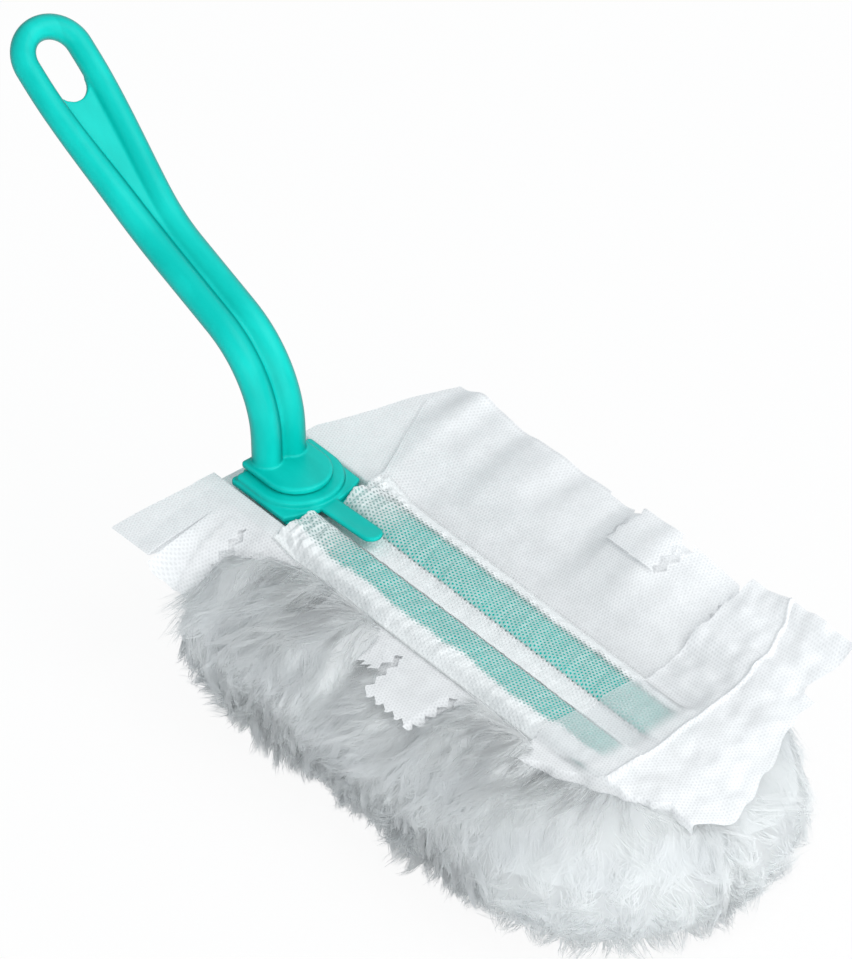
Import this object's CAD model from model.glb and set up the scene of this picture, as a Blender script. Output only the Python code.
"""A fluffy hand duster: moulded handle and fork, nonwoven sheets and a refill of loose tow."""

import math

import bpy
import numpy as np
from mathutils import Matrix, Vector


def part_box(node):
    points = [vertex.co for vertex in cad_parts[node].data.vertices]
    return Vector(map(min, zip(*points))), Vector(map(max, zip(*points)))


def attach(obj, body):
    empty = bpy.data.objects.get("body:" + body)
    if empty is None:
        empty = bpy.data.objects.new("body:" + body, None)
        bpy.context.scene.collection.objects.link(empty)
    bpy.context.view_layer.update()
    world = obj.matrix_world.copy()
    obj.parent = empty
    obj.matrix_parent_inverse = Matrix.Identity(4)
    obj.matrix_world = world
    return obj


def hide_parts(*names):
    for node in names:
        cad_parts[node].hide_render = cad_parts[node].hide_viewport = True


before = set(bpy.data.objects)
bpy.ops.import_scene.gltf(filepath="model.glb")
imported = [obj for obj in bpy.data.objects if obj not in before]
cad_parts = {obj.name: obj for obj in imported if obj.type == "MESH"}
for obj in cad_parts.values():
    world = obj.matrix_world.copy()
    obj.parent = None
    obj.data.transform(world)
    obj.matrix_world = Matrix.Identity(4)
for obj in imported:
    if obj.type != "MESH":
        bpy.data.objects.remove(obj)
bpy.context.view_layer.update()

bl_info = {
    "name": "Fluffy Hand Duster",
    "version": (1, 0, 0),
    "blender": (4, 5, 0),
    "location": "3D View > Sidebar > Duster",
    "description": "Builds a hand duster with a looped handle, a fork and a fluffy refill pad",
    "category": "Object",
}

MM = 0.001
FORK_LOW, FORK_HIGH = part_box("fork")
# Shapes are worked out in mm from the middle of the fork plate's front edge, level with its top.
# START is that point in the frame, in metres, found from the fork's box
PRONG_LENGTH = 148
COLLAR_HEIGHT = 2
START = np.array((
    FORK_HIGH.x - PRONG_LENGTH * MM,
    (FORK_LOW.y + FORK_HIGH.y) / 2,
    FORK_HIGH.z - COLLAR_HEIGHT * MM,
))
FLOOR_LEVEL = -START[2] / MM


# ---------------------------------------------------------------- sizes and colours


class DusterSizes(bpy.types.PropertyGroup):
    """Sizes that a maker of dusters would change."""

    rail_radius_at_neck: bpy.props.FloatProperty(
        name="Rail radius at neck", description="Radius of each handle rail above the foot",
        default=4.4 * MM, unit="LENGTH", precision=5,
    )
    rail_radius_at_loop: bpy.props.FloatProperty(
        name="Rail radius at loop", description="Radius of each rail round the hanging hole",
        default=3.8 * MM, unit="LENGTH", precision=5,
    )
    sheet_half_width: bpy.props.FloatProperty(
        name="Sheet half width", description="From the pad's middle line to a wide sheet's edge",
        default=60 * MM, unit="LENGTH", precision=5,
    )
    hole_pitch: bpy.props.FloatProperty(
        name="Mesh hole pitch", description="Distance between the holes of the sleeve sheet",
        default=1.3 * MM, unit="LENGTH", precision=5,
    )
    dot_pitch: bpy.props.FloatProperty(
        name="Bond dot pitch", description="Distance between the embossed dots of the wide sheets",
        default=1.05 * MM, unit="LENGTH", precision=5,
    )
    fibre_width: bpy.props.FloatProperty(
        name="Fibre width", description="Width of one modelled bundle of tow fibres at its root",
        default=0.22 * MM, unit="LENGTH", precision=6,
    )
    fibres_per_layer: bpy.props.IntProperty(
        name="Fibres a layer", description="Fibre bundles in each tow layer", default=19000,
        min=100,
    )


class DusterColours(bpy.types.PropertyGroup):
    """Colours of the plastic, sheets and tow."""

    plastic: bpy.props.FloatVectorProperty(
        name="Plastic", description="Handle and fork", subtype="COLOR", size=3,
        default=(0.0, 0.585, 0.515),
    )
    sheet: bpy.props.FloatVectorProperty(
        name="Sheets", description="Wide nonwoven sheets", subtype="COLOR", size=3,
        default=(0.90, 0.915, 0.925),
    )
    mesh: bpy.props.FloatVectorProperty(
        name="Sleeve mesh", description="Perforated sleeve sheet", subtype="COLOR", size=3,
        default=(0.87, 0.90, 0.905),
    )
    tow: bpy.props.FloatVectorProperty(
        name="Tow", description="Loose fibres", subtype="COLOR", size=3,
        default=(0.945, 0.96, 0.97),
    )


# ---------------------------------------------------------------- surfaces from arrays


def eased(share):
    """A ramp from 0 to 1 with level ends: 3 s squared less 2 s cubed, s held between 0 and 1."""
    share = np.clip(share, 0, 1)
    return share * share * (3 - 2 * share)


def run_of(places, values, at):
    """Values along a line, eased from each given place to the next."""
    places = np.asarray(places, float)
    values = np.asarray(values, float)
    after = np.clip(np.searchsorted(places, at), 1, len(places) - 1)
    gap = places[after] - places[after - 1]
    share = eased((at - places[after - 1]) / gap)
    return values[after - 1] * (1 - share) + values[after] * share


def ripples(seed, at_x, at_y, longest, shortest, count=24):
    """Smooth uneven waves between about -1 and 1: a sum of sines whose lengths run from the
    longest to the shortest, each with its own heading and phase and a height that falls with
    its length."""
    random = np.random.default_rng(seed)
    lengths = longest * (shortest / longest) ** np.linspace(0, 1, count)
    headings = random.uniform(0, 2 * math.pi, count)
    phases = random.uniform(0, 2 * math.pi, count)
    heights = lengths / longest
    total = np.zeros(np.broadcast(at_x, at_y).shape)
    for length, heading, phase, height in zip(lengths, headings, phases, heights):
        wave = (at_x * math.cos(heading) + at_y * math.sin(heading)) * (2 * math.pi / length)
        total = total + height * np.sin(wave + phase)
    return total / np.sqrt(0.5 * np.sum(heights**2)) / 2


def grid_quads(rows, columns, round_columns=False):
    """Corner numbers of the faces of a grid stored row by row."""
    index = np.arange(rows * columns).reshape(rows, columns)
    if round_columns:
        index = np.concatenate((index, index[:, :1]), axis=1)
    corners = (index[:-1, :-1], index[:-1, 1:], index[1:, 1:], index[1:, :-1])
    return np.stack([corner.ravel() for corner in corners], axis=1)


class Shape:
    """Points and faces gathered from several surfaces into one mesh."""

    def __init__(self):
        self.points = []
        self.faces = []
        self.places = []
        self.count = 0

    def add(self, points, faces, places=None):
        """Add points as rows of x, y, z with faces that number them from 0."""
        points = np.asarray(points, float).reshape(-1, 3)
        self.points.append(points)
        self.faces.append(np.asarray(faces) + self.count)
        if places is None:
            places = np.zeros((len(points), 2))
        self.places.append(np.asarray(places, float).reshape(-1, 2))
        self.count += len(points)

    def rows(self, points, places=None, round_columns=False):
        """Add a grid surface given as rows of points."""
        self.add(points, grid_quads(*points.shape[:2], round_columns), places)

    def grid(self, x, y, z, places=None):
        """Add a grid surface given by its coordinates, row by row."""
        self.rows(np.stack(np.broadcast_arrays(x, y, z), axis=-1), places)

    def cap(self, ring, flip=False):
        """Close a ring of points with triangles to its middle."""
        ring = np.asarray(ring, float)
        count = len(ring)
        points = np.concatenate((ring, ring.mean(axis=0, keepdims=True)))
        index = np.arange(count)
        faces = np.stack((index, (index + 1) % count, np.full(count, count)), axis=1)
        self.add(points, faces[:, ::-1] if flip else faces)

    def piece(self, name, place_names=True):
        """The finished object, at the origin with its place in its mesh."""
        points = np.concatenate(self.points) * MM + START
        places = np.concatenate(self.places)
        loops = np.concatenate([face.ravel() for face in self.faces])
        sizes = np.concatenate([np.full(len(face), face.shape[1]) for face in self.faces])
        starts = np.concatenate(([0], np.cumsum(sizes)[:-1]))
        mesh = bpy.data.meshes.new(name)
        mesh.vertices.add(len(points))
        mesh.vertices.foreach_set("co", points.astype(np.float32).ravel())
        mesh.loops.add(len(loops))
        mesh.loops.foreach_set("vertex_index", loops.astype(np.int32))
        mesh.polygons.add(len(sizes))
        mesh.polygons.foreach_set("loop_start", starts.astype(np.int32))
        mesh.update(calc_edges=True)
        if place_names:
            layer = mesh.uv_layers.new(name="cut")
            layer.data.foreach_set("uv", places[loops].astype(np.float32).ravel())
        mesh.shade_smooth()
        item = bpy.data.objects.new(name, mesh)
        bpy.context.scene.collection.objects.link(item)
        return item


def applied(item):
    """Bake the object's modifiers into its mesh."""
    bpy.context.view_layer.update()
    graph = bpy.context.evaluated_depsgraph_get()
    mesh = bpy.data.meshes.new_from_object(item.evaluated_get(graph))
    old = item.data
    item.modifiers.clear()
    item.data = mesh
    bpy.data.meshes.remove(old)
    return item


def moulded(item, voxel, passes):
    """Fuse overlapping closed surfaces into one skin and soften it, as a mould's fillets do."""
    skin = item.modifiers.new("one skin", "REMESH")
    skin.mode = "VOXEL"
    skin.voxel_size = voxel
    skin.use_smooth_shade = True
    soft = item.modifiers.new("fillets", "SMOOTH")
    soft.factor = 0.5
    soft.iterations = passes
    applied(item)
    item.data.shade_smooth()
    return item


# ---------------------------------------------------------------- finishes


def maths(operation):
    """A Math node as a method on numbers."""

    def work(self, *others):
        return self.finish.number("ShaderNodeMath", {"operation": operation}, (self, *others))

    return work


def reflected(operation):
    """A Math node with the plain number first."""

    def work(self, other):
        return self.finish.number("ShaderNodeMath", {"operation": operation}, (other, self))

    return work


class Number:
    """A number that changes over a surface, which takes part in Python sums."""

    def __init__(self, finish, socket):
        self.finish = finish
        self.socket = socket

    __add__ = maths("ADD")
    __radd__ = reflected("ADD")
    __sub__ = maths("SUBTRACT")
    __rsub__ = reflected("SUBTRACT")
    __mul__ = maths("MULTIPLY")
    __rmul__ = reflected("MULTIPLY")
    __truediv__ = maths("DIVIDE")
    __rtruediv__ = reflected("DIVIDE")
    least = maths("MINIMUM")
    most = maths("MAXIMUM")
    wrapped = maths("WRAP")
    size = maths("ABSOLUTE")
    root = maths("SQRT")

    def ramp(self, low, high, start=0.0, end=1.0):
        """Ease from start to end as this number goes from low to high."""
        values, smooth = (self, low, high, start, end), {"interpolation_type": "SMOOTHSTEP"}
        return self.finish.number("ShaderNodeMapRange", smooth, values)


def tint(colour, share, extra=0.0):
    """A colour made lighter or darker by a share of itself."""
    return [min(0.99, c * share + extra) for c in colour]


class Finish:
    """A material, or the world, under construction."""

    def __init__(self, name, kind="materials"):
        self.made = getattr(bpy.data, kind).new(name)
        self.made.use_nodes = True
        self.tree = self.made.node_tree
        self.tree.nodes.clear()

    def node(self, kind, settings=None, values=()):
        """One node: its settings first, then values or links for its sockets."""
        made = self.tree.nodes.new(kind)
        for key, value in (settings or {}).items():
            setattr(made, key, value)
        pairs = values.items() if isinstance(values, dict) else enumerate(values)
        for key, value in pairs:
            socket = made.inputs[key]
            if isinstance(value, Number):
                self.tree.links.new(value.socket, socket)
            elif isinstance(value, bpy.types.NodeSocket):
                self.tree.links.new(value, socket)
            else:
                socket.default_value = value
        return made

    def number(self, kind, settings=None, values=(), output=0):
        """A node's output as a number."""
        return Number(self, self.node(kind, settings, values).outputs[output])

    def blend(self, amount, low, high):
        """A colour between two colours."""
        values = {0: amount, 6: self.colour(low), 7: self.colour(high)}
        return self.node("ShaderNodeMix", {"data_type": "RGBA"}, values).outputs[2]

    def colour(self, value):
        """A colour with its fourth number, or a link as it is."""
        if isinstance(value, bpy.types.NodeSocket):
            return value
        return (*tuple(value)[:3], 1.0)

    def noise(self, place, scale, detail=2.0, rough=0.5, stretch=(1, 1, 1)):
        """Soft noise from 0 to 1, stretched along the axes of its place."""
        spread = self.stretched(place, stretch)
        values = {"Vector": spread, "Scale": scale, "Detail": detail, "Roughness": rough}
        return self.number("ShaderNodeTexNoise", {"noise_dimensions": "3D"}, values)

    def stretched(self, place, amounts):
        """A place with each of its numbers multiplied."""
        times = {"operation": "MULTIPLY"}
        return self.node("ShaderNodeVectorMath", times, (place, amounts)).outputs[0]

    def body_place(self):
        """Places on the object, in metres."""
        return self.node("ShaderNodeTexCoord").outputs["Object"]

    def cut_place(self, width, length):
        """Places on the flat cut of a sheet, in metres: across, along and both as a vector."""
        cut = self.node("ShaderNodeUVMap", {"uv_map": "cut"}).outputs[0]
        flat = self.stretched(cut, (length, width, 1))
        along, across, _ = self.parts(flat)
        return along, across, flat

    def parts(self, place):
        """A place's three numbers."""
        split = self.node("ShaderNodeSeparateXYZ", None, (place,))
        return [Number(self, output) for output in split.outputs]

    def lattice(self, along, across, pitch):
        """Distance, as a share of the pitch, to the nearest point of a lattice of triangles."""
        row = pitch * math.sqrt(3)
        found = None
        for shift in (0.0, 0.5):
            x = (along / pitch + shift).wrapped(0.0, 1.0) - 0.5
            y = ((across / row + shift).wrapped(0.0, 1.0) - 0.5) * math.sqrt(3)
            near = (x * x + y * y).root()
            found = near if found is None else found.least(near)
        return found

    def bump(self, height, depth):
        """A normal bent by a height from 0 to 1 that stands for a depth in metres."""
        values = {"Strength": 1.0, "Distance": depth, "Height": height}
        return self.node("ShaderNodeBump", None, values).outputs[0]

    def skin(self, **values):
        """The main shader."""
        named = {key.replace("_", " "): value for key, value in values.items()}
        return self.node("ShaderNodeBsdfPrincipled", None, named).outputs[0]

    def glowing(self, share, shader, colour):
        """The shader with a share of light shining through in a colour."""
        glow = self.node("ShaderNodeBsdfTranslucent", None, {"Color": self.colour(colour)})
        return self.node("ShaderNodeMixShader", None, (share, shader, glow.outputs[0])).outputs[0]

    def done(self, shader, kind="Material"):
        """Join the shader to the output and hand over the material or world."""
        self.node("ShaderNodeOutput" + kind, None, (shader,))
        return self.made


def plastic_finish(name, colour, web=0.0):
    """Semi-gloss moulded plastic: faint flow marks in its colour, fine ripple in its gloss. It
    deepens where it turns away, and the handle's thin web, which lets light through, is paler."""
    paint = Finish(name)
    place = paint.body_place()
    flow = paint.noise(place, 55.0, 3.0, 0.5, (1, 2.5, 1))
    fine = paint.noise(place, 900.0, 2.0, 0.6)
    turned = paint.number("ShaderNodeLayerWeight", None, {"Blend": 0.5}, 1)
    along, across, _ = paint.parts(place)
    half = along.ramp(START[0] - 112 * MM, START[0] - 60 * MM, 5.4 * MM, 0.0)
    thin = (half - across.size()).ramp(0.0, 0.8 * MM) * web
    face = paint.blend(flow.ramp(0.3, 0.7), tint(colour, 0.93), tint(colour, 1.08, 0.004))
    face = paint.blend(thin, face, tint(colour, 1.32, 0.01))
    shader = paint.skin(
        Base_Color=paint.blend(turned.ramp(0.22, 0.92), face, tint(colour, 0.46)),
        Roughness=0.30 + fine * 0.08 + flow * 0.05,
        Specular_IOR_Level=0.14,
        Normal=paint.bump(fine * 0.6 + flow * 0.4, 0.00003),
    )
    return paint.done(shader)


def nonwoven_finish(name, colour, width, length, pitch, cover=0.95, thin=0.0):
    """White point-bonded nonwoven: embossed dots, fine fibre streaks and an uneven cloudiness
    that lets a little of what lies under it show, and more where it lies thin on the sleeves."""
    paint = Finish(name)
    along, across, flat = paint.cut_place(width, length)
    dots = paint.lattice(along, across, pitch).ramp(0.20, 0.36)
    fibres = paint.noise(flat, 1500.0, 3.0, 0.6, (1, 0.35, 1))
    cloud = paint.noise(flat, 130.0, 4.0, 0.55)
    light, dark = tint(colour, 1.04), tint(colour, 0.93)
    height = dots * 0.6 + fibres * 0.4
    spot = 1 - (across - width / 2).size().ramp(18 * MM, 22 * MM)
    spot = spot * (1 - along.ramp(17 * MM, 23 * MM)) * thin
    tone = cloud * 0.5 + fibres * 0.38 + dots * 0.2
    shader = paint.skin(
        Base_Color=paint.blend(tone.ramp(0.3, 0.85), dark, light),
        Roughness=0.78 + fibres * 0.12,
        Specular_IOR_Level=0.25,
        Alpha=(cover - 0.16 + cloud * 0.16 + dots * 0.07 + fibres * 0.05).least(1.0) - spot,
        Normal=paint.bump(height, 0.00010),
    )
    return paint.done(paint.glowing(0.12, shader, light))


def mesh_finish(name, colour, width, length, pitch):
    """Thin perforated nonwoven: a lattice of open holes in a half see-through web."""
    paint = Finish(name)
    along, across, flat = paint.cut_place(width, length)
    holes = 1 - paint.lattice(across, along, pitch).ramp(0.19, 0.33)
    fibres = paint.noise(flat, 1400.0, 3.0, 0.6, (0.5, 1, 1))
    cloud = paint.noise(flat, 170.0, 3.0, 0.5)
    off = (across - width / 2).size()
    uneven = (cloud - 0.5) * 1.6 * MM
    hanging = 1 - across.ramp(width / 2 - 1 * MM, width / 2 + 1 * MM)
    slow = paint.noise(flat, 45.0, 1.0, 0.4) - 0.5
    margin = off + hanging * 2.6 * MM + (uneven + slow * 7 * MM) * (0.5 + hanging * 0.6)
    weld = 1 - (off + uneven * 0.4).ramp(3.3 * MM, 4.6 * MM)
    weld = weld.most(margin.ramp(17.4 * MM, 21.0 * MM)).most(along.ramp(142.5 * MM, 145.0 * MM))
    edge = (off + uneven * 0.3).ramp(23.6 * MM, 25.2 * MM)
    mouth = 1 - along.ramp(6 * MM, 24 * MM)
    light, dark = tint(colour, 1.04), tint(colour, 0.9)
    web = 0.36 + fibres * 0.14 + cloud * 0.14 + mouth * 0.30
    shader = paint.skin(
        Base_Color=paint.blend((cloud * 0.6 + fibres * 0.4).ramp(0.3, 0.8), dark, light),
        Roughness=0.72 + fibres * 0.12,
        Specular_IOR_Level=0.25,
        Alpha=(web * (1 - holes * (1 - mouth * 0.45)) + weld).least(1.0) * (1 - edge),
        Normal=paint.bump((1 - holes) * 0.7 + fibres * 0.3, 0.00013),
    )
    return paint.done(shader)


def tow_finish(name, colour):
    """Loose white fibres: near-matt, a little light shining through, faintly uneven in tone."""
    paint = Finish(name)
    place = paint.body_place()
    clumps = paint.noise(place, 70.0, 3.0, 0.55)
    light = tint(colour, 1.03)
    shader = paint.skin(
        Base_Color=paint.blend(clumps.ramp(0.3, 0.7), tint(colour, 0.98), light),
        Roughness=0.65 + clumps * 0.2,
        Specular_IOR_Level=0.2,
    )
    return paint.done(paint.glowing(0.52, shader, light))


def floor_finish():
    """Pale floor: a camera sees it nearly white, and it keeps the duster's shadow."""
    paint = Finish("pale floor")
    place = paint.body_place()
    haze = paint.noise(place, 3.0, 2.0)
    matt = paint.skin(
        Base_Color=paint.blend(haze, (0.88, 0.885, 0.89), (0.9, 0.905, 0.91)),
        Roughness=0.9,
        Specular_IOR_Level=0.0,
    )
    white = paint.node("ShaderNodeEmission", None, {"Color": (1, 1, 1, 1), "Strength": 1.0})
    rays = paint.node("ShaderNodeLightPath").outputs
    seen = Number(paint, rays["Is Camera Ray"]).most(Number(paint, rays["Is Glossy Ray"]))
    values = (seen * 0.93, matt, white.outputs[0])
    return paint.done(paint.node("ShaderNodeMixShader", None, values).outputs[0])


# ---------------------------------------------------------------- handle

NECK_SETBACK = 19.1
FOOT_TOP = 4.3
FOOT_BOTTOM = 2.3
RAIL_OFFSET_AT_NECK = 4.45
RAIL_OFFSET_AT_LOOP = 9.45
HOLE_HALF_STRAIGHT = 4.5
SPREAD_LENGTH = 62
NECK_HEADING = math.radians(92)
SHANK_HEADING = math.radians(159)
GRIP_HEADING = math.radians(144.5)
NECK_LENGTH = 8
SHANK_LENGTH = 25
GRIP_LENGTH = 43.4
# The bends' lengths: their radii times how far they turn
NECK_BEND = 32.5 * (SHANK_HEADING - NECK_HEADING)
GRIP_BEND = 80 * (SHANK_HEADING - GRIP_HEADING)
# Distance along the middle line to the hanging hole's centre
GRIP_END = NECK_LENGTH + SHANK_LENGTH + GRIP_LENGTH + (NECK_BEND + GRIP_BEND)
PLATE_REAR = -23.5
COLLAR_CENTRE = -11.1


def handle_middle(along):
    """The handle's middle line: a heading that runs straight up the neck, round the neck bend,
    along the shank, round a gentle rise and up the grip, summed step by step into a path."""
    stops = np.cumsum((0, NECK_LENGTH, NECK_BEND, SHANK_LENGTH, GRIP_BEND, GRIP_LENGTH))
    turns = (NECK_HEADING, NECK_HEADING, SHANK_HEADING, SHANK_HEADING, GRIP_HEADING, GRIP_HEADING)
    fine = np.linspace(0, stops[-1] + 30, 3000)
    heading = np.interp(fine, stops, turns)
    kernel = np.hanning(161)
    padded = np.concatenate((np.full(80, heading[0]), heading, np.full(80, heading[-1])))
    heading = np.convolve(padded, kernel / kernel.sum(), mode="valid")
    step = fine[1] - fine[0]
    x = np.concatenate(([0], np.cumsum(np.cos(heading[1:]) * step))) - NECK_SETBACK
    z = np.concatenate(([0], np.cumsum(np.sin(heading[1:]) * step))) + FOOT_TOP
    turn = np.interp(along, fine, heading)
    below = np.minimum(along, 0)
    at_x = np.interp(along, fine, x) + below * np.cos(turn)
    at_z = np.interp(along, fine, z) + below * np.sin(turn)
    return at_x, at_z, turn


def loop_share(along):
    """0 in the neck, easing to 1 where the rails stand furthest apart."""
    return eased((along - (GRIP_END - SPREAD_LENGTH)) / SPREAD_LENGTH)


def tube(shape, path, normal, radius, sides):
    """A round rod carried along a path: a circle of each point's radius in the plane of its
    normal and of the path's own side direction, with closed ends."""
    tangent = np.gradient(path, axis=0)
    tangent /= np.linalg.norm(tangent, axis=1, keepdims=True)
    side = np.cross(tangent, normal)
    side /= np.linalg.norm(side, axis=1, keepdims=True)
    turn = np.linspace(0, 2 * math.pi, sides, endpoint=False)
    way = np.stack((np.cos(turn), np.sin(turn)), axis=1)
    ring = side[:, None] * way[:, :1] + normal[:, None] * way[:, 1:]
    points = path[:, None] + ring * radius[:, None, None]
    shape.rows(points, round_columns=True)
    shape.cap(points[0], flip=True)
    shape.cap(points[-1])


def handle_rails(shape, sizes):
    """Both rails as one rod: up one side, round the hanging hole on a half circle and down the
    other side, its radius easing from the neck's to the loop's."""
    end = GRIP_END + HOLE_HALF_STRAIGHT
    along = np.linspace(-1, end, 150)
    share = loop_share(along)
    offset = RAIL_OFFSET_AT_NECK + (RAIL_OFFSET_AT_LOOP - RAIL_OFFSET_AT_NECK) * share
    neck, loop = sizes.rail_radius_at_neck / MM, sizes.rail_radius_at_loop / MM
    radius = neck * (1 - share) + loop * share
    turn = np.linspace(0, math.pi, 50)[1:-1]
    crown = end + RAIL_OFFSET_AT_LOOP * np.sin(turn)
    across = np.concatenate((offset, RAIL_OFFSET_AT_LOOP * np.cos(turn), -offset[::-1]))
    radius = np.concatenate((radius, np.full(len(turn), loop), radius[::-1]))
    along = np.concatenate((along, crown, along[::-1]))
    x, z, heading = handle_middle(along)
    path = np.stack((x, across, z), axis=1)
    normal = np.stack((np.sin(heading), np.zeros(len(x)), -np.cos(heading)), axis=1)
    tube(shape, path, normal, radius, 40)


def handle_web(shape):
    """The web between the rails: two faces at half a thickness above and below a middle that
    sinks towards the loop, from the foot to the rounded lower end of the hanging hole."""
    radius = RAIL_OFFSET_AT_LOOP - 3.8
    v = np.linspace(-1, 1, 41)[None, :]
    u = np.linspace(0, 1, 160)[:, None]
    wide_end = RAIL_OFFSET_AT_LOOP * v
    stop = GRIP_END - HOLE_HALF_STRAIGHT - np.sqrt(np.maximum(radius**2 - wide_end**2, 0))
    along = u * stop
    share = loop_share(along)
    wide = RAIL_OFFSET_AT_NECK + (RAIL_OFFSET_AT_LOOP - RAIL_OFFSET_AT_NECK) * share
    half = 2.3 * (1 - share) + 0.9 * share
    x, z, heading = handle_middle(along)
    faces = []
    for level in (half - share, -half - share):
        faces.append((x + level * np.sin(heading), wide * v, z - level * np.cos(heading)))
    closed_slab(shape, *faces)


def closed_slab(shape, top, bottom):
    """A closed body between two grid faces of one size: both faces and the walls round them."""
    top = np.stack(np.broadcast_arrays(*top), axis=-1)
    bottom = np.stack(np.broadcast_arrays(*bottom), axis=-1)
    rows, columns = top.shape[:2]
    rim = [(0, c) for c in range(columns)] + [(r, columns - 1) for r in range(1, rows)]
    rim += [(rows - 1, c) for c in range(columns - 2, -1, -1)]
    rim += [(r, 0) for r in range(rows - 2, 0, -1)]
    rim_row, rim_column = np.array(rim).T
    shape.add(top, grid_quads(rows, columns)[:, ::-1])
    shape.add(bottom, grid_quads(rows, columns))
    walls = np.stack((top[rim_row, rim_column], bottom[rim_row, rim_column]))
    shape.rows(walls, round_columns=True)


def arcs(*parts):
    """A plan as a ring of arcs, each with its centre, radius, first and last angle and count of
    points. Returns the points and their outward directions."""
    points, ways = [], []
    for centre, radius, low, high, count in parts:
        turn = np.linspace(low, high, count)
        ways.append(np.stack((np.cos(turn), np.sin(turn)), 1))
        points.append(np.array(centre) + radius * ways[-1])
    return np.concatenate(points), np.concatenate(ways)


def head_outline(half_width, front_centre, rear, corner):
    """Plan of a head plate: a half-round front and straight sides to a rear with round corners."""
    quarter = math.pi / 2
    side, back = half_width - corner, rear + corner
    return arcs(
        ((front_centre, 0), half_width, -quarter, quarter, 61),
        ((back, side), corner, quarter, 2 * quarter, 9),
        ((back, -side), corner, 2 * quarter, 3 * quarter, 9),
    )


def bowed_outline(half_width, bow, rear, corner, front_corner):
    """Plan of the fork plate: a front edge on a shallow arc, straight sides and round corners."""
    quarter = math.pi / 2
    bend = (half_width**2 + bow**2) / (2 * bow)
    spread = math.asin((half_width - front_corner) / bend)
    front_x = bow - bend + (bend - front_corner) * math.cos(spread)
    front_y = (bend - front_corner) * math.sin(spread)
    side, back = half_width - corner, rear + corner
    return arcs(
        ((bow - bend, 0), bend, -spread, spread, 41),
        ((front_x, front_y), front_corner, spread, quarter, 9),
        ((back, side), corner, quarter, 2 * quarter, 9),
        ((back, -side), corner, 2 * quarter, 3 * quarter, 9),
        ((front_x, -front_y), front_corner, 3 * quarter, 4 * quarter - spread, 9),
    )


def rounded_plate(shape, outline, low, high, top_round, bottom_round=0.0):
    """A closed plate: its outline drawn inwards along its outward directions on a quarter circle
    at the top edge and at the bottom edge, and filled to the middle."""
    points, ways = outline
    lower, upper = np.linspace(0, math.pi / 2, 7), np.linspace(0, math.pi / 2, 9)
    inset = np.append(bottom_round * (1 - np.sin(lower)), top_round * (1 - np.cos(upper)))
    level = low + bottom_round * (1 - np.cos(lower))
    level = np.append(level, high - top_round * (1 - np.sin(upper)))
    plan = points - inset[:, None, None] * ways
    level = np.broadcast_to(level[:, None, None], (*plan.shape[:2], 1))
    rings = np.concatenate((plan, level), axis=2)
    shape.rows(rings, round_columns=True)
    shape.cap(rings[0], flip=True)
    shape.cap(rings[-1])


def make_handle(sizes, colours):
    """Rails, web, foot disc, stem and flange fused into one moulded piece."""
    shape = Shape()
    handle_rails(shape, sizes)
    handle_web(shape)
    # Half width, rear corner, bottom, top, top edge's and bottom edge's rounding
    plates = (
        (10.5, 0.8, FOOT_BOTTOM, FOOT_TOP, 0.6, 0.2),
        (7.9, 0.6, -0.3, 3, 0.1, 0),
        (10.1, 0.6, -0.6, 0.8, 0.2, 0.2),
    )
    for half, corner, *levels in plates:
        rounded_plate(shape, head_outline(half, COLLAR_CENTRE, PLATE_REAR, corner), *levels)
    item = moulded(shape.piece("looped_handle", False), 0.34 * MM, 6)
    item.data.materials.append(plastic_finish("moulded handle plastic", colours.plastic, 0.25))
    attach(item, "handle")
    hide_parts("handle")
    return item


def cut_with(item, cutters):
    """Cut hollows out of a piece, one closed body at a time."""
    for cutter in cutters:
        step = item.modifiers.new("hollow", "BOOLEAN")
        step.operation = "DIFFERENCE"
        step.solver = "EXACT"
        step.object = cutter
    applied(item)
    for cutter in cutters:
        bpy.data.objects.remove(cutter, do_unlink=True)


PRONG_MIDDLE = 11
PRONG_HALF = 7
PRONG_ROUND_START = PRONG_LENGTH - PRONG_HALF


def prong_body(shape, side):
    """A prong as a closed slab: its width runs from the root's to the full width and closes on a
    half circle at the tip, and its level steps down from the plate."""
    tip = PRONG_ROUND_START + PRONG_HALF * np.sin(np.linspace(0.05, math.pi / 2, 24))
    x = np.concatenate((np.linspace(-13, 20, 34), np.linspace(21, 140, 60), tip))
    half = np.sqrt(np.maximum(PRONG_HALF**2 - np.maximum(x - PRONG_ROUND_START, 0) ** 2, 0))
    inner = PRONG_MIDDLE - half
    outer = PRONG_MIDDLE + half - 4.7 * (1 - eased(x / 13))
    v = np.linspace(0, 1, 13)[None, :]
    y = inner[:, None] * (1 - v) + outer[:, None] * v
    top = -1.4 - 0.6 * eased((x + 13) / 23)
    crown = 0.35 * (1 - (2 * v - 1) ** 8)
    high = top[:, None] - 0.35 + crown
    low = top[:, None] - 1.25 - crown
    wide = np.broadcast_to(x[:, None], y.shape)
    faces = ((wide, y * side, high), (wide, y * side, low))
    closed_slab(shape, *(faces if side > 0 else faces[::-1]))


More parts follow.
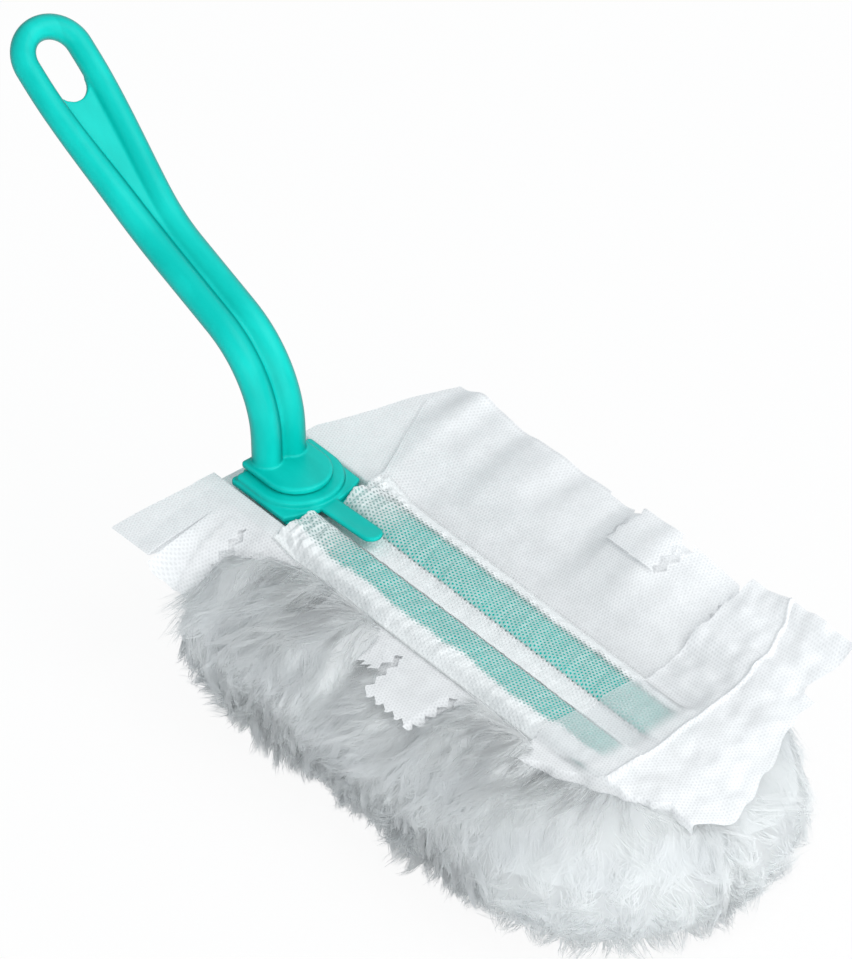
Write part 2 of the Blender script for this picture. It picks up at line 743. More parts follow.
def make_fork(colours):
    """Plate, raised collar with its socket, short tongue and two long prongs."""
    shape = Shape()
    # Each outline, then its bottom and top level and its top and bottom edges' rounding
    rounded_plate(shape, bowed_outline(14.5, 3.8, PLATE_REAR, 1.2, 0.6), -1.9, 0, 0.45, 0.3)
    rounded_plate(shape, head_outline(13.9, COLLAR_CENTRE, -22, 1.4), -1, COLLAR_HEIGHT, 0.95)
    rounded_plate(shape, head_outline(3.3, 22.5, -0.5, 0.4), -1.5, -0.1, 0.5, 0.3)
    # The tongue, the last three surfaces, turns up towards its tip
    for rows in shape.points[-3:]:
        rows[:, 2] += 1.6 * np.clip(rows[:, 0] / 26, 0, 1) ** 1.5
    item = moulded(shape.piece("fork_body", False), 0.28 * MM, 4)
    cutters = []
    for name, half, low, high in (("slot", 10.4, -0.9, 1.1), ("throat", 8.2, 0.1, 5)):
        hollow = Shape()
        rounded_plate(hollow, head_outline(half, COLLAR_CENTRE, -28, 0.2), low, high, 0.05)
        cutters.append(hollow.piece(name, False))
    cut_with(item, cutters)
    prongs = Shape()
    for side in (-1, 1):
        prong_body(prongs, side)
    prongs = prongs.piece("fork_prongs", False)
    finish = plastic_finish("moulded fork plastic", colours.plastic)
    for each in (item, prongs):
        each.data.materials.clear()
        each.data.materials.append(finish)
        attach(each, "fork")
        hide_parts("fork")
    return item


# ---------------------------------------------------------------- sheets

COVER_LEVEL = -4.1
SHEET_STEP = 0.9
BOND_EDGE = 21.5
WING = 38.5

# Headings in degrees, at each of the five stops outwards, for places along the pad in mm
RAISED_SIDE = (
    (-29, 2, 5, 7, 7, 4),
    (-10, 3, 6, 8, 8, 4),
    (3, 6, 10, 13, 12, 8),
    (17, 10, 17, 21, 19, 12),
    (38, 11, 18, 23, 22, 15),
    (55, 9, 16, 21, 20, 14),
    (64, 8, 14, 19, 19, 16),
    (76, 13, 22, 28, 28, 24),
    (90, 14, 24, 29, 28, 22),
    (105, 13, 24, 28, 26, 19),
    (120, 11, 22, 27, 24, 15),
    (161, 8, 14, 18, 16, 10),
)
HANGING_SIDE = (
    (-33, -6, -8, -8, -10, -14),
    (-17, -8, -11, -9, -9, -14),
    (-11, -14, -18, -18, -42, -80),
    (0, -22, -28, -45, -75, -84),
    (15, -24, -55, -78, -84, -84),
    (32, -40, -75, -84, -84, -84),
    (50, -22, -50, -74, -84, -84),
    (57, -7, -14, -22, -34, -60),
    (66, -5, -9, -12, -12, -18),
    (86, -5, -9, -12, -12, -20),
    (93, -14, -28, -46, -64, -80),
    (108, -22, -46, -70, -80, -84),
    (122, -25, -55, -85, -88, -88),
    (161, -30, -60, -85, -90, -90),
)


TOOTH_PITCH = 4.4
TOOTH_HEIGHT = 1.7


def teeth(distance, pitch=TOOTH_PITCH, height=TOOTH_HEIGHT):
    """A pinked edge: a triangle wave of the distance along it."""
    share = (distance / pitch) % 1.0
    return height * (1 - np.abs(2 * share - 1))


def bed(x, y, lift=0.0):
    """Level of the bonded middle: flat, but raised on both sides of the fork's plate, where the
    tow pushes the sheets up against its edges."""
    beside = eased((np.abs(y) - 14.7) / 1.1)
    return COVER_LEVEL + 3.7 * (1 - eased((x - 1) / 16)) * beside + lift


# How far out from the bond's edge the five headings hold
HANG_STOPS = np.array((0, 4, 10, 20, 38.5))


class Hang:
    """How a sheet's free side leaves the bonded middle: its heading in degrees at five stops
    outwards, given for a row of places along the pad."""

    def __init__(self, side, rows, seed, crease=0.10):
        self.side = side
        self.places = np.array([row[0] for row in rows])
        self.table = np.radians(np.array([row[1:] for row in rows], float))
        self.seed = seed
        self.crease = crease

    def points(self, along, out, level, lean=0.0):
        """Carry the cloth outwards by its own length: y and z are the running sums of the cosine
        and sine of its heading, which eases from stop to stop and wavers in soft creases."""
        travelled = np.linspace(0, 1, 61)[:, None, None] * out[None]
        values = np.stack([run_of(self.places, column, along) for column in self.table.T])
        stop = np.clip(np.searchsorted(HANG_STOPS, travelled, side="right") - 1, 0, 3)
        gap = HANG_STOPS[stop + 1] - HANG_STOPS[stop]
        share = eased((travelled - HANG_STOPS[stop]) / gap)
        before = np.take_along_axis(values, stop, axis=0)
        after = np.take_along_axis(values, stop + 1, axis=0)
        waver = ripples(self.seed, along[None] * 0.7, travelled, 46, 9)
        free = eased(travelled / 12)
        heading = before + (after - before) * share + (self.crease * waver + lean) * free
        step = out[None] / 60
        middle = (heading[1:] + heading[:-1]) / 2
        y = BOND_EDGE + np.sum(np.cos(middle) * step, axis=0)
        z = level + np.sum(np.sin(middle) * step, axis=0)
        return self.side * y, z


def cut_places(along, out_signed, rear, length, width):
    """Places on the flat cut, as shares of its length and width."""
    return np.stack(((along - rear) / length, (out_signed + width / 2) / width), axis=-1)


def wing_strip(shape, hang, level, low, high, root, reach, rear, length, width, steps, lean=0.0,
               pull=0.0, pinked=(True, True), twist=0.0, end_teeth=0.0, rear_edge=None):
    """One strip of a sheet's free side, between two cuts. Its sides are straight or pinked, it
    leans, twists and is pulled along the pad with its distance out."""
    u = np.linspace(0, 1, steps[0])[None, :]
    v = np.linspace(0, 1, steps[1])[:, None]
    end = reach + end_teeth * teeth(u * round((high - low) / TOOTH_PITCH), 1.0, 2.0)
    out = root + (end - root) * v
    share = np.clip((out - root) / (reach - root), 0, 1)
    gap = 0.2 + 0.9 * share**2
    left = low + (gap + teeth(out) if pinked[0] else 0 * out)
    right = high - (gap + TOOTH_HEIGHT - teeth(out) if pinked[1] else 0 * out)
    ease = np.minimum(1, share * 12)
    left = low + (left - low) * ease
    right = high + (right - high) * ease
    if rear_edge is not None:
        left = rear_edge(out)
    along = left + (right - left) * u
    out = np.broadcast_to(out, along.shape)
    y, z = hang.points(along, out, bed(along, BOND_EDGE, level), lean)
    z = z + twist * (u - 0.5) * eased(share) * (high - low)
    x = along + pull * eased(share) * out
    signed = hang.side * (out + BOND_EDGE)
    shape.grid(x, y, z, cut_places(along, signed, rear, length, width))


def bonded_half(shape, hang, level, low, high, root, rear, length, width, steps, rear_edge=None,
                front_edge=None):
    """One half of a wide sheet's middle: flat over the bond, and out to where its strips begin."""
    u = np.linspace(0, 1, steps[0])[None, :]
    start = low if rear_edge is None else rear_edge(0.0)
    flat = hang.side * np.linspace(0, BOND_EDGE, 44)[:, None]
    stop = high if front_edge is None else front_edge(np.abs(flat))
    wide = start + (stop - start) * u + 0 * flat
    flat = flat + 0 * wide
    shape.grid(wide, flat, bed(wide, flat, level), cut_places(wide, flat, rear, length, width))
    out = np.linspace(0, root, steps[1])[:, None]
    start = low + 0 * out if rear_edge is None else rear_edge(out)
    stop = high if front_edge is None else front_edge(BOND_EDGE)
    wide = start + (stop - start) * u
    out = out + 0 * wide
    y, z = hang.points(wide, out, bed(wide, BOND_EDGE, level))
    shape.grid(wide, y, z, cut_places(wide, hang.side * (out + BOND_EDGE), rear, length, width))


def edge_line(outs, places):
    """A sheet's slanting rear edge: its place along the pad for a distance out, in mm."""
    return lambda out: np.interp(out, outs, places)


def finish_sheet(item, finish, node):
    """Give a sheet its cloth, its place on the pad and its facts, from mm."""
    item.data.materials.append(finish)
    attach(item, "pad")
    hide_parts(node)
    return item


def make_sleeves(sizes, colours):
    """The perforated sheet: a groove bonded along the middle and a flat sleeve on each side,
    lifted and bunched at its mouth, with soft cross folds."""
    shape = Shape()
    length, width = 146.5, 50
    rear = 4.5
    u = np.linspace(0, 1, 420)[None, :]
    v = np.linspace(-1, 1, 181)[:, None]
    x = rear + length * u + 0 * v
    side = np.sign(v) + 0 * u
    drawn = (side < 0) * (3 * eased((x - 120) / 20) + 5 * eased((x - 139) / 12))
    out = np.abs(v) * (21.5 - drawn)
    inner = eased((out - 1.0) / 4.6)
    outer = 1 - eased((out - 17.2) / 4.0)
    over = inner * outer
    mouth = 1 - eased((x - rear) / 20)
    puff = 0.7 * np.sin(np.clip((out - 3) / 16, 0, 1) ** 0.8 * math.pi)
    folds = ripples(5, x * 1.6 + 0.6 * out, out * 0.35 + side * 50, 15, 3)
    bunch = ripples(9, x * 1.7 + side * 100, out * 1.2, 9, 2.2)
    swell = eased((out - 3.4) / 5)
    height = 2.3 + puff + 0.28 * folds + mouth * swell * (2.3 + 0.8 * bunch)
    tail = 1 - eased((x - 143) / 7)
    ground = bed(x, side * out, 0.4)
    lifted = COVER_LEVEL + 0.4 + over * height * (0.25 + 0.75 * tail)
    z = np.maximum(ground, lifted) + 0.10 * ripples(12, x, out, 7, 2)
    y = side * (out + mouth * 0.6 * eased((out - 14) / 7))
    places = np.stack((u + 0 * v, (v + 1) / 2 + 0 * u), axis=-1)
    shape.grid(x, y, z, places)
    item = shape.piece("sleeve_mesh")
    finish = mesh_finish(
        "perforated sleeve cloth", colours.mesh, width * MM, length * MM, sizes.hole_pitch
    )
    return finish_sheet(
        item, finish, "sleeve_sheet",
    )


def wide_cloth(shape, name, sizes, colours, sheet, length, share, rests_on, **looks):
    """Finish a wide sheet of a given length along the pad."""
    width = 2 * sizes.sheet_half_width / MM
    item = shape.piece(sheet + "_cloth")
    finish = nonwoven_finish(
        name, colours.sheet, width * MM, length * MM, sizes.dot_pitch, **looks
    )
    node = sheet + "_sheet"
    return finish_sheet(item, finish, node)


def make_cover(sizes, colours):
    """The wide upper sheet: one broad panel and three pinked strips on its raised side, and
    strips that dive into the tow or lie on it on its hanging side."""
    shape = Shape()
    rear, front = -29, 161
    length = front - rear
    raised = Hang(1, RAISED_SIDE, 21, 0.17)
    hanging = Hang(-1, HANGING_SIDE, 33, 0.06)
    facts = (rear, length, 2 * sizes.sheet_half_width / MM)
    slant = edge_line((0, 28.5, 38.5), (2, -12, -9))
    tip = edge_line((0, 11, 15, 19, 21.5), (158, 155, 147, 138, 131))
    bonded_half(shape, raised, 0, 0, front, 26, *facts, (340, 50), slant)
    bonded_half(shape, hanging, 0, rear, front, 3, *facts, (380, 12), front_edge=tip)
    # Rear cut, front cut, reach, lean, pull and twist
    panels = (
        (0, 73, 38.5, 0, 0, 0),
        (73, 95, 40, 0.05, 0.03, 0.04),
        (95, 117, 39.5, 0.0, 0.02, -0.06),
        (117, 137, 37.5, -0.05, -0.02, 0),
    )
    for index, (low, high, reach, lean, pull, twist) in enumerate(panels):
        wing_strip(
            shape, raised, 0, low, high, 26, reach, *facts, (60 if index else 190, 60),
            lean=lean, pull=pull, twist=twist, pinked=(index > 0, True),
            rear_edge=None if index else slant,
        )
    # Rear cut, front cut, reach, lean, pinked sides and teeth along the end
    strips = (
        (-29, -16.5, 29.5, 0.0, (False, False), 0.0),
        (-16.5, -4, 30, -0.1, (False, True), 0.4),
        (-4, 14, 30, -0.2, (True, True), 0.4),
        (14, 32, 28, -0.2, (True, True), 0.4),
        (32, 50, 28, -0.2, (True, True), 0.4),
        (50, 66, 11, 0.1, (True, True), 1.0),
        (66, 90, 18.5, 0.0, (True, True), 1.0),
        (90, 110, 22, -0.1, (True, True), 1.0),
        (110, 130, 30, -0.1, (True, True), 0.4),
    )
    tail = edge_line((3, 28), (-29, -33))
    for index, (low, high, reach, lean, pinked, end) in enumerate(strips):
        wing_strip(
            shape, hanging, 0, low, high, 3, reach, *facts, (60, 70), lean=lean, pinked=pinked,
            end_teeth=end, rear_edge=None if index else tail,
        )
    return wide_cloth(
        shape, "upper sheet cloth", sizes, colours, "cover", length, 0.78,
        ["strip_cloth", "tow_upper_fibres"],
    )


def make_strip_sheet(sizes, colours):
    """The wide lower sheet: its rear corner shows behind the upper one, and its pinked strips
    fill the gaps between the upper one's."""
    shape = Shape()
    rear, front = -28, 157
    length = front - rear
    raised = Hang(1, RAISED_SIDE, 21, 0.15)
    hanging = Hang(-1, HANGING_SIDE, 57, 0.05)
    facts = (rear, length, 2 * sizes.sheet_half_width / MM)
    slant = edge_line((0, 20, 39), (-28, -20, -11.5))
    tip = edge_line((0, 11, 15, 19, 21.5), (156, 152, 144, 135, 128))
    bonded_half(shape, raised, -SHEET_STEP, rear, front, 24, *facts, (330, 46), slant)
    bonded_half(shape, hanging, -SHEET_STEP, -25, front, 3, *facts, (330, 12), front_edge=tip)
    cuts = (rear, 61, 84, 106, 128)
    for index, (low, high) in enumerate(zip(cuts, cuts[1:])):
        wing_strip(
            shape, raised, -SHEET_STEP, low, high, 24, WING + (0.5 if index else 1.5), *facts,
            (60 if index else 150, 60), lean=-0.03 * index, pinked=(index > 0, True),
            twist=0.05 * (index % 2), rear_edge=None if index else slant,
        )
    cuts = (-25, -10, 8, 26, 44, 59, 76, 98, 118)
    reaches = (26, 30, 28, 26, 24, 14.5, 15, 24)
    for index, (low, high, reach) in enumerate(zip(cuts, cuts[1:], reaches)):
        wing_strip(
            shape, hanging, -SHEET_STEP, low, high, 3, reach, *facts, (60, 70),
            lean=-0.08 - 0.04 * (index % 3), pinked=(index > 0, True), end_teeth=1.0,
        )
    return wide_cloth(
        shape, "strip sheet cloth", sizes, colours, "strip", length, 0.78, ["tow_upper_fibres"],
        cover=0.93,
    )


def line_of(*pairs):
    """A smooth value along a line, from pairs of places and values in mm."""
    places, values = zip(*pairs)
    return lambda at: run_of(places, values, at)


# The end sheet: where its side folds down, its far edge, and its heights over the sleeves, along
# its crease and along its far edge, from the hanging side to the raised one
FOLD_SIDE = line_of(
    (119, -29), (131, -24), (142, -19.3), (151, -15.4), (159, -11.3), (164, -7.5), (180, -6)
)
FAR_PLACE = line_of(
    (-6, 172), (3, 177.5), (10, 176), (20, 172), (36, 165), (44, 160), (47, 159), (52, 162),
    (60, 163.3),
)
FAR_LEVEL = line_of(
    (-6, -8), (3, -8.5), (10, -6), (20, -2.3), (36, 1.5), (44, 5), (47, 7), (52, 11), (60, 16.5)
)
CREASE_PLACE = line_of(
    (-30, 148), (0, 146.3), (16, 145), (28, 144), (46, 142), (53, 139.5), (60, 135.8)
)
CREASE_LEVEL = line_of(
    (-30, -3.2), (-19, -2.2), (-3, -0.9), (16, 1.1), (28, 2.5), (38.5, 4.9), (46, 7.4),
    (53, 11.4), (60, 16.2),
)
REAR_LEVEL = line_of(
    (-30, -3.8), (-21.5, -3.0), (21.5, -2.8), (26, -1.4), (32, 1.2), (42, 6.2), (52, 10.2),
    (60, 13.2),
)


def make_end_sheet(sizes, colours):
    """The end sheet: laid over both sleeves' tips, creased in a ridge that climbs to its raised
    side, with a thin free flap beyond, and folded down into the tow on its hanging side. Its
    height runs from the rear's to the crease's on a bell curve, and on to the far edge's."""
    shape = Shape()
    rear = 119
    length, width = 60, 2 * sizes.sheet_half_width / MM
    u = np.linspace(0, 1, 240)[None, :]
    v = np.linspace(0, 1, 300)[:, None]
    guess = -6 + 66 * v
    along = rear + (FAR_PLACE(guess) - rear) * u
    low = FOLD_SIDE(along)
    across = low + (60 - low) * v
    crease = CREASE_PLACE(across)
    far = FAR_PLACE(guess) + 0 * across
    near = np.abs(across)
    sleeve = eased((near - 2.2) / 2.6) * (1 - eased((near - 17.4) / 3.4))
    resting = REAR_LEVEL(across) + 2.5 * sleeve
    before = np.exp(-(((crease - along) / 6.5) ** 2))
    beyond = np.clip((along - crease) / np.maximum(far - crease, 1), 0, 1) ** 1.1
    top = CREASE_LEVEL(across)
    behind = np.maximum(resting + (top - resting) * before, resting)
    z = np.where(along < crease, behind, top + (FAR_LEVEL(guess) - top) * beyond)
    bead = np.exp(-(((along - crease) / 0.75) ** 2))
    z = z + 0.75 * bead
    free = eased((across - 20) / 10) + eased((along - crease) / 8)
    z = z + 0.8 * np.minimum(free, 1) * ripples(95, along, across, 24, 5)
    places = np.stack(((along - rear) / length, (across + width / 2) / width), axis=-1)
    shape.grid(along, across, z, places)
    drop = np.linspace(0, 1, 80)[::-1, None]
    down = 32 * (1 - 0.9 * eased((along[0] - 148) / 16))[None, :] * drop
    turn = np.clip(down / 1.6, 0, 1)
    y = low[0] - 0.8 * np.sin(turn * math.pi / 2) + 0.12 * np.maximum(down - 6, 0)
    fall = 0.25 * down * turn + 0.75 * down * eased(turn)
    fall = fall + 0.5 * ripples(99, along[0][None, :], down, 14, 4) * turn
    x = along[0][None, :] + 0 * down
    places = np.stack(((x - rear) / length, (low[0] - down + width / 2) / width), axis=-1)
    shape.grid(x, y, z[0][None, :] - fall, places)
    return wide_cloth(
        shape, "end sheet cloth", sizes, colours, "end", length, 0.8,
        ["sleeve_mesh", "cover_cloth"], cover=0.98, thin=0.58,
    )


# ---------------------------------------------------------------- tow

# The tow's cross section, from the bond outwards and round to the bottom: how far it stands out
# from the bonded band's edge and at which level, at shares of the way
TOW_WAY = 78
TOW_OUT = (0, 8, 17, 25, 31, 34.5, 35, 32, 26, 17, 7, 0)
TOW_LEVEL = (-6.4, -6.4, -7.4, -10, -14.8, -21, -28, -34.5, -40, -44, -46.4, -46.8)
# One entry a layer, from the top: node, first and last share of the way, extra size
TOW_LAYERS = (
    ("tow_upper", 0.0, 0.40, 0.0),
    ("tow_second", 0.30, 0.62, -0.4),
    ("tow_third", 0.52, 0.84, -0.8),
    ("tow_lowest", 0.74, 1.0, -1.2),
)


def band_outline():
    """The bonded band's plan as a dense ring: a rectangle with round corners. Gives x, y, the
    outward direction and how far the tow may stand out there, less at the handle's end."""
    rear, front, half, corner = -4, 146, 18, 13
    xs, ys, turns = [], [], []
    corners = ((front, -half, -90), (front, half, 0), (rear, half, 90), (rear, -half, 180))
    for x, y, start in corners:
        turn = np.radians(np.linspace(start, start + 90, 60))
        centre_x = x - math.copysign(corner, x - 50)
        centre_y = y - math.copysign(corner, y)
        xs.append(centre_x + corner * np.cos(turn))
        ys.append(centre_y + corner * np.sin(turn))
        turns.append(turn)
    x, y, turn = (np.concatenate(parts) for parts in (xs, ys, turns))
    x, y, turn = np.append(x, x[0]), np.append(y, y[0]), np.append(turn, turn[0] + 2 * math.pi)
    way = np.concatenate(([0], np.cumsum(np.hypot(np.diff(x), np.diff(y)))))
    fine = np.linspace(0, way[-1], 4000)
    x, y, turn = (np.interp(fine, way, values) for values in (x, y, turn))
    room = 1 - 0.68 * np.clip(-np.cos(turn), 0, 1) ** 1.5
    return fine, x, y, turn, room


def tow_profile():
    """The tow's cross section as a dense smooth row: out and level for shares of the way, with
    the direction that faces away from the tow."""
    share = np.linspace(0, 1, 600)
    stops = np.linspace(0, 1, len(TOW_OUT))
    out = np.interp(share, stops, TOW_OUT)
    level = np.interp(share, stops, TOW_LEVEL)
    kernel = np.hanning(71) / np.hanning(71).sum()
    for _ in range(2):
        out = np.convolve(np.pad(out, 35, mode="reflect", reflect_type="odd"), kernel, "valid")
        level = np.convolve(np.pad(level, 35, mode="reflect", reflect_type="odd"), kernel, "valid")
    facing = np.arctan2(np.gradient(out), -np.gradient(level))
    return share, out, level, facing


BAND = band_outline()
PROFILE = tow_profile()
BAND_LENGTH = BAND[0][-1]


def tow_place(way, share, lift):
    """A place on the tow: the band's outline, moved outwards and down to the cross section, and
    away from it by a lift. Lumps follow the fibres' run, and the raised side is lifted."""
    way = np.mod(way, BAND_LENGTH)
    x, y, turn, room = (np.interp(way, BAND[0], values) for values in BAND[1:])
    out, level, facing = (np.interp(share, PROFILE[0], values) for values in PROFILE[1:])
    seam = eased(way / 12) * eased((BAND_LENGTH - way) / 12)
    run = share * TOW_WAY
    lumps = 1.9 * ripples(301, way, run * 0.6, 26, 8)
    lumps = lumps + 0.7 * ripples(302, way, run * 0.5, 12, 4)
    lift = lift + lumps * seam * eased(share * 7)
    rim = (out + lift * np.sin(facing)) * room
    at_x = x + np.cos(turn) * rim
    at_y = y + np.sin(turn) * rim
    at_z = level + lift * np.cos(facing)
    upper = 1 - eased((share - 0.15) / 0.5)
    wing = eased((at_y - 22) / 30) * upper
    raised = run_of((-29, 0, 55, 95, 130, 175), (4, 9, 9, 12, 14, 9), at_x)
    heaped = run_of(
        (-5, 10, 26, 48, 59, 88, 99, 118, 130), (0, 1.5, 4.8, 4.8, -0.6, -0.6, 4, 4, 0), at_x
    )
    at_z = at_z + wing * raised + heaped * upper * eased((-18.5 - at_y) / 5)
    return at_x, at_y, np.maximum(at_z, FLOOR_LEVEL + 0.25)


def tow_body(shape, layer, extra):
    """The soft body of one layer: the tow's surface between two shares of the way, ragged along
    its lower edge, closed across at the top and bottom. It lies under the fibres' roots."""
    first, last = layer[1], layer[2]
    ways = np.linspace(0, BAND_LENGTH, 560, endpoint=False)[None, :]
    steps = np.linspace(0, 1, 30)[:, None]
    ragged = 0.035 * ripples(303, ways, 0, 16, 3.5) if last < 1 else 0 * ways
    share = first + (last + ragged - first) * steps
    x, y, z = tow_place(ways + 0 * share, share, extra - 1.2 * eased(share * 6))
    rings = np.stack((x, y, z), -1)
    shape.rows(rings, np.stack((ways / BAND_LENGTH + 0 * share, share), -1), round_columns=True)
    shape.cap(rings[0], flip=True)
    shape.cap(rings[-1])


def unit(rows):
    """Rows of x, y, z at length 1."""
    return rows / np.maximum(np.linalg.norm(rows, axis=-1, keepdims=True), 1e-9)


def tow_strands(layer, sizes, seed):
    """Fibre bundles of one layer. Each leaves its root along the tow's run and lifts from the
    surface with a power of its length. A small tuft draws its bundles' tips together, and the
    large tuft round it sets their length, lift and sideways drift."""
    first, last, extra = layer[1:]
    random = np.random.default_rng(seed)
    count = sizes.fibres_per_layer
    way = random.uniform(0, BAND_LENGTH, count)
    share = random.uniform(first - 0.02, last, count)

    def tuft(wide, long, offset):
        column = np.floor(way / wide)
        stagger = 0.5 * (column % 2)
        row = np.floor(share / long + stagger)
        pick = ((column * 37 + row * 101 + offset) % 1999).astype(int)
        return pick, (column + 0.5) * wide, (row + 0.5 - stagger) * long

    small, small_way, small_share = tuft(3.6, 6.5 / TOW_WAY, 0)
    large = tuft(12, 0.16, 7)[0]
    small_way = small_way + random.normal(0, 0.9, 1999)[small]
    lift = random.beta(1.4, 2.0, 1999)[large] * 0.7 + random.beta(1.3, 2.6, 1999)[small] * 0.5
    drift = random.normal(0, 0.38, 1999)[large] + random.normal(0, 0.30, 1999)[small]
    long = random.uniform(0.75, 1.30, 1999)[large] * random.uniform(0.75, 1.2, 1999)[small]
    length = 7.0 * long * random.uniform(0.6, 1.15, count)
    lift = lift * random.uniform(0.75, 1.15, count)
    drift = drift + random.normal(0, 0.10, count)
    base = extra - random.uniform(0.6, 1.8, count) * eased(share * 6)
    root = np.stack(tow_place(way, share, base), axis=-1)
    run = unit(np.stack(tow_place(way, share + 0.012, base), axis=-1) - root)
    side = unit(np.stack(tow_place(way + 0.8, share, base), axis=-1) - root)
    away = unit(np.stack(tow_place(way, share, base + 1), axis=-1) - root)
    middle = np.stack(tow_place(small_way, small_share, base), axis=-1)
    hang = eased((share - 0.38) / 0.25)[:, None]
    outward = unit(np.stack((side[:, 1], -side[:, 0], 0 * share), axis=-1))
    run = unit(run * (1 - hang) + hang * (0.55 * outward - np.array((0, 0, 0.85))))
    along_pad, across_pad = root[:, 0], root[:, 1]
    covered = eased((across_pad + 12) / 20) * (1 - eased((share - 0.28) / 0.12))
    covered = covered * (1 - eased((along_pad - 156) / 12)) * eased((along_pad + 4) / 12)
    pieces = eased((along_pad - 48) / 6) * (1 - eased((along_pad - 92) / 6))
    pieces = pieces * (1 - eased((share - 0.22) / 0.08)) * (1 - eased((across_pad + 20) / 4))
    covered = np.maximum(covered, 0.85 * pieces)
    lift = lift * (1 - 0.9 * covered)
    steps = 5
    along = np.linspace(0, 1, steps)[None, :, None]
    crimp = 0.05 * np.sin(2 * math.pi * (1.3 * along + random.random(count)[:, None, None]))
    length = length[:, None, None]
    heading = run[:, None] * along + away[:, None] * lift[:, None, None] * along**1.5
    heading = heading + side[:, None] * (drift[:, None, None] * along**1.3 + crimp * along)
    points = root[:, None] + length * heading + (middle - root)[:, None] * 0.8 * along**1.6
    points[..., 2] = np.maximum(points[..., 2], FLOOR_LEVEL + 0.25)
    tangent = unit(np.gradient(points, axis=1))
    flat = unit(np.cross(tangent, away[:, None]))
    upright = np.cross(flat, tangent)
    roll = random.normal(0, 0.45, count)[:, None, None]
    across = flat * np.cos(roll) + upright * np.sin(roll)
    wide = sizes.fibre_width / MM * random.uniform(0.6, 1.4, count)[:, None, None]
    width = wide * (1 - along) ** 0.7 + 0.03
    ribbons = np.stack((points - across * width / 2, points + across * width / 2), axis=2)
    facing = unit(away[:, None] * 0.72 + upright * 0.28)
    return ribbons, np.repeat(facing[:, :, None], 2, axis=2)


def strand_faces(count, steps):
    """Faces of narrow ribbons, each a row of quads between its two edges."""
    base = np.arange(count)[:, None] * steps * 2 + np.arange(steps - 1)[None, :] * 2
    return np.stack((base, base + 1, base + 3, base + 2), axis=-1).reshape(-1, 4)


def make_tow_layer(number, sizes, colours):
    """One tow layer: its soft body and its fibre bundles."""
    layer = TOW_LAYERS[number]
    shape = Shape()
    tow_body(shape, layer, layer[3])
    ribbons, facing = tow_strands(layer, sizes, 100 + number)
    count, steps = ribbons.shape[:2]
    place = np.zeros((count, steps, 2, 2))
    place[..., 0] = (np.arange(count)[:, None, None] + np.array((0.1, 0.9))[None, None, :]) / count
    place[..., 1] = np.linspace(0.02, 0.98, steps)[None, :, None]
    shape.add(ribbons, strand_faces(count, steps), place)
    item = shape.piece(layer[0] + "_fibres")
    normals = np.zeros((shape.count, 3))
    normals[-facing.size // 3:] = facing.reshape(-1, 3)
    item.data.normals_split_custom_set_from_vertices(normals)
    item.data.materials.append(tow_finish(layer[0] + " fibre", colours.tow))
    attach(item, "pad")
    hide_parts(layer[0])
    return item


# ---------------------------------------------------------------- stage


def area_light(name, direction, distance, size, power, aim):
    """A soft square lamp that faces the duster."""
    light = bpy.data.lights.new(name, "AREA")
    light.size = size
    light.energy = power
    item = bpy.data.objects.new(name, light)
    way = Vector(direction).normalized()
    item.location = Vector(aim) + way * distance
    item.rotation_euler = way.to_track_quat("Z", "Y").to_euler()
    bpy.context.scene.collection.objects.link(item)


CAMERA_DISTANCE = 4.0


def make_stage():
    """Floor, lamps, surroundings and the camera at the photograph's angle."""
    scene = bpy.context.scene
    scene.view_settings.view_transform = "Standard"
    shape = Shape()
    u = np.linspace(-3000, 3000, 9)
    x, y = np.meshgrid(u, u)
    shape.grid(x, y, np.full(x.shape, FLOOR_LEVEL))
    floor = shape.piece("floor", False)
    floor.data.materials.append(floor_finish())

    azimuth, elevation = math.radians(50.3), math.radians(38.5)
    right = Vector((math.cos(azimuth), math.sin(azimuth), 0))
    level = Vector((math.sin(azimuth), -math.cos(azimuth), 0))
    back = level * math.cos(elevation) + Vector((0, 0, math.sin(elevation)))
    up = back.cross(right)
    aim = Vector(START) + right * 29.9 * MM + up * 5.14 * MM
    camera = bpy.data.cameras.new("camera")
    camera.sensor_width = 36
    camera.lens = 36 * CAMERA_DISTANCE / 0.274
    camera.clip_start, camera.clip_end = 0.05, 20
    item = bpy.data.objects.new("camera", camera)
    item.matrix_world = Matrix((right, up, back)).transposed().to_4x4()
    item.location = aim + back * CAMERA_DISTANCE
    scene.collection.objects.link(item)
    scene.camera = item

    area_light("key", (0.55, 0.38, 0.95), 1.3, 1.0, 8.0, aim)
    area_light("side", (1.0, -0.15, 0.30), 1.4, 1.0, 5.2, aim)
    area_light("front", (0.75, -1.0, 0.14), 1.5, 1.2, 8.2, aim)
    area_light("rear", (-0.7, 1.0, 0.35), 1.5, 1.2, 2.5, aim)

    sky = Finish("surroundings", "worlds")
    soft = sky.node("ShaderNodeBackground", None, ((0.93, 0.97, 1.0, 1), 0.56))
    white = sky.node("ShaderNodeBackground", None, ((1, 1, 1, 1), 1.0))
    seen = sky.node("ShaderNodeLightPath").outputs["Is Camera Ray"]
    shaders = (seen, soft.outputs[0], white.outputs[0])
    mixed = sky.node("ShaderNodeMixShader", None, shaders).outputs[0]
    scene.world = sky.done(mixed, "World")


# ---------------------------------------------------------------- operators and panel


class MakeStage(bpy.types.Operator):
    """Add the floor, the lamps, the surroundings and the camera"""

    bl_idname = "duster.make_stage"
    bl_label = "Stage"

    def execute(self, context):
        make_stage()
        return {"FINISHED"}


class MakeHandle(bpy.types.Operator):
    """Mould the looped handle with its foot"""

    bl_idname = "duster.make_handle"
    bl_label = "Handle"

    def execute(self, context):
        make_handle(context.scene.duster_sizes, context.scene.duster_colours)
        return {"FINISHED"}


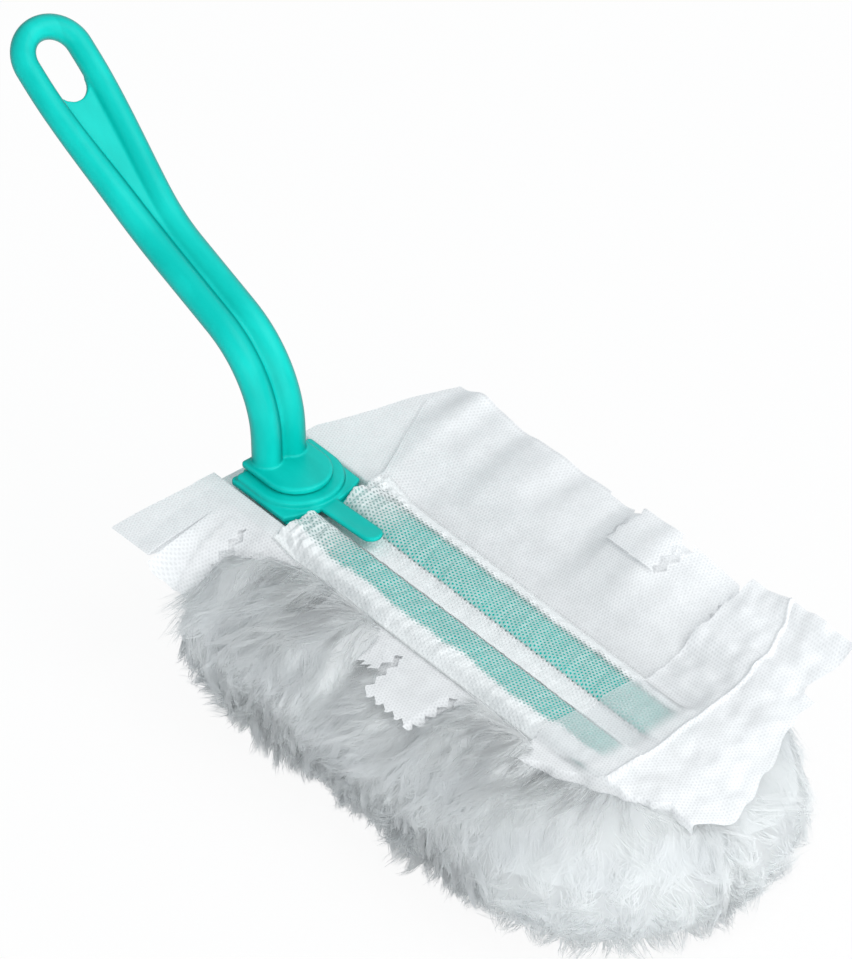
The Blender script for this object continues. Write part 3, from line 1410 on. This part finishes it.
class MakeFork(bpy.types.Operator):
    """Mould the fork with its collar, tongue and prongs"""

    bl_idname = "duster.make_fork"
    bl_label = "Fork"

    def execute(self, context):
        make_fork(context.scene.duster_colours)
        return {"FINISHED"}


class MakeTow(bpy.types.Operator):
    """Lay the four layers of loose tow"""

    bl_idname = "duster.make_tow"
    bl_label = "Tow layers"

    def execute(self, context):
        for number in range(len(TOW_LAYERS)):
            make_tow_layer(number, context.scene.duster_sizes, context.scene.duster_colours)
        return {"FINISHED"}


class MakeWideSheets(bpy.types.Operator):
    """Lay the wide sheets with their pinked strips"""

    bl_idname = "duster.make_wide_sheets"
    bl_label = "Wide sheets"

    def execute(self, context):
        make_strip_sheet(context.scene.duster_sizes, context.scene.duster_colours)
        make_cover(context.scene.duster_sizes, context.scene.duster_colours)
        return {"FINISHED"}


class MakeSleeves(bpy.types.Operator):
    """Lay the perforated sleeve sheet over the prongs"""

    bl_idname = "duster.make_sleeves"
    bl_label = "Sleeve sheet"

    def execute(self, context):
        make_sleeves(context.scene.duster_sizes, context.scene.duster_colours)
        return {"FINISHED"}


class MakeEndSheet(bpy.types.Operator):
    """Lay the creased end sheet over the sleeves' tips"""

    bl_idname = "duster.make_end_sheet"
    bl_label = "End sheet"

    def execute(self, context):
        make_end_sheet(context.scene.duster_sizes, context.scene.duster_colours)
        return {"FINISHED"}


STEPS = (MakeStage, MakeHandle, MakeFork, MakeTow, MakeWideSheets, MakeSleeves, MakeEndSheet)


class DusterPanel(bpy.types.Panel):
    """The duster's sizes, colours and making steps"""

    bl_idname = "VIEW3D_PT_duster"
    bl_label = "Duster"
    bl_space_type = "VIEW_3D"
    bl_region_type = "UI"
    bl_category = "Duster"

    def draw(self, context):
        for group in (context.scene.duster_sizes, context.scene.duster_colours):
            box = self.layout.box()
            for name in group.__annotations__:
                box.prop(group, name)
        for step in STEPS:
            self.layout.operator(step.bl_idname)


CLASSES = (DusterSizes, DusterColours, *STEPS, DusterPanel)


def register():
    """Make the duster's classes known to Blender."""
    for each in CLASSES:
        bpy.utils.register_class(each)
    bpy.types.Scene.duster_sizes = bpy.props.PointerProperty(type=DusterSizes)
    bpy.types.Scene.duster_colours = bpy.props.PointerProperty(type=DusterColours)


def unregister():
    """Take the duster's classes out again."""
    del bpy.types.Scene.duster_sizes
    del bpy.types.Scene.duster_colours
    for each in reversed(CLASSES):
        bpy.utils.unregister_class(each)


def main():
    """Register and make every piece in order."""
    register()
    for step in STEPS:
        group, name = step.bl_idname.split(".")
        getattr(getattr(bpy.ops, group), name)()


if __name__ == "__main__":
    main()
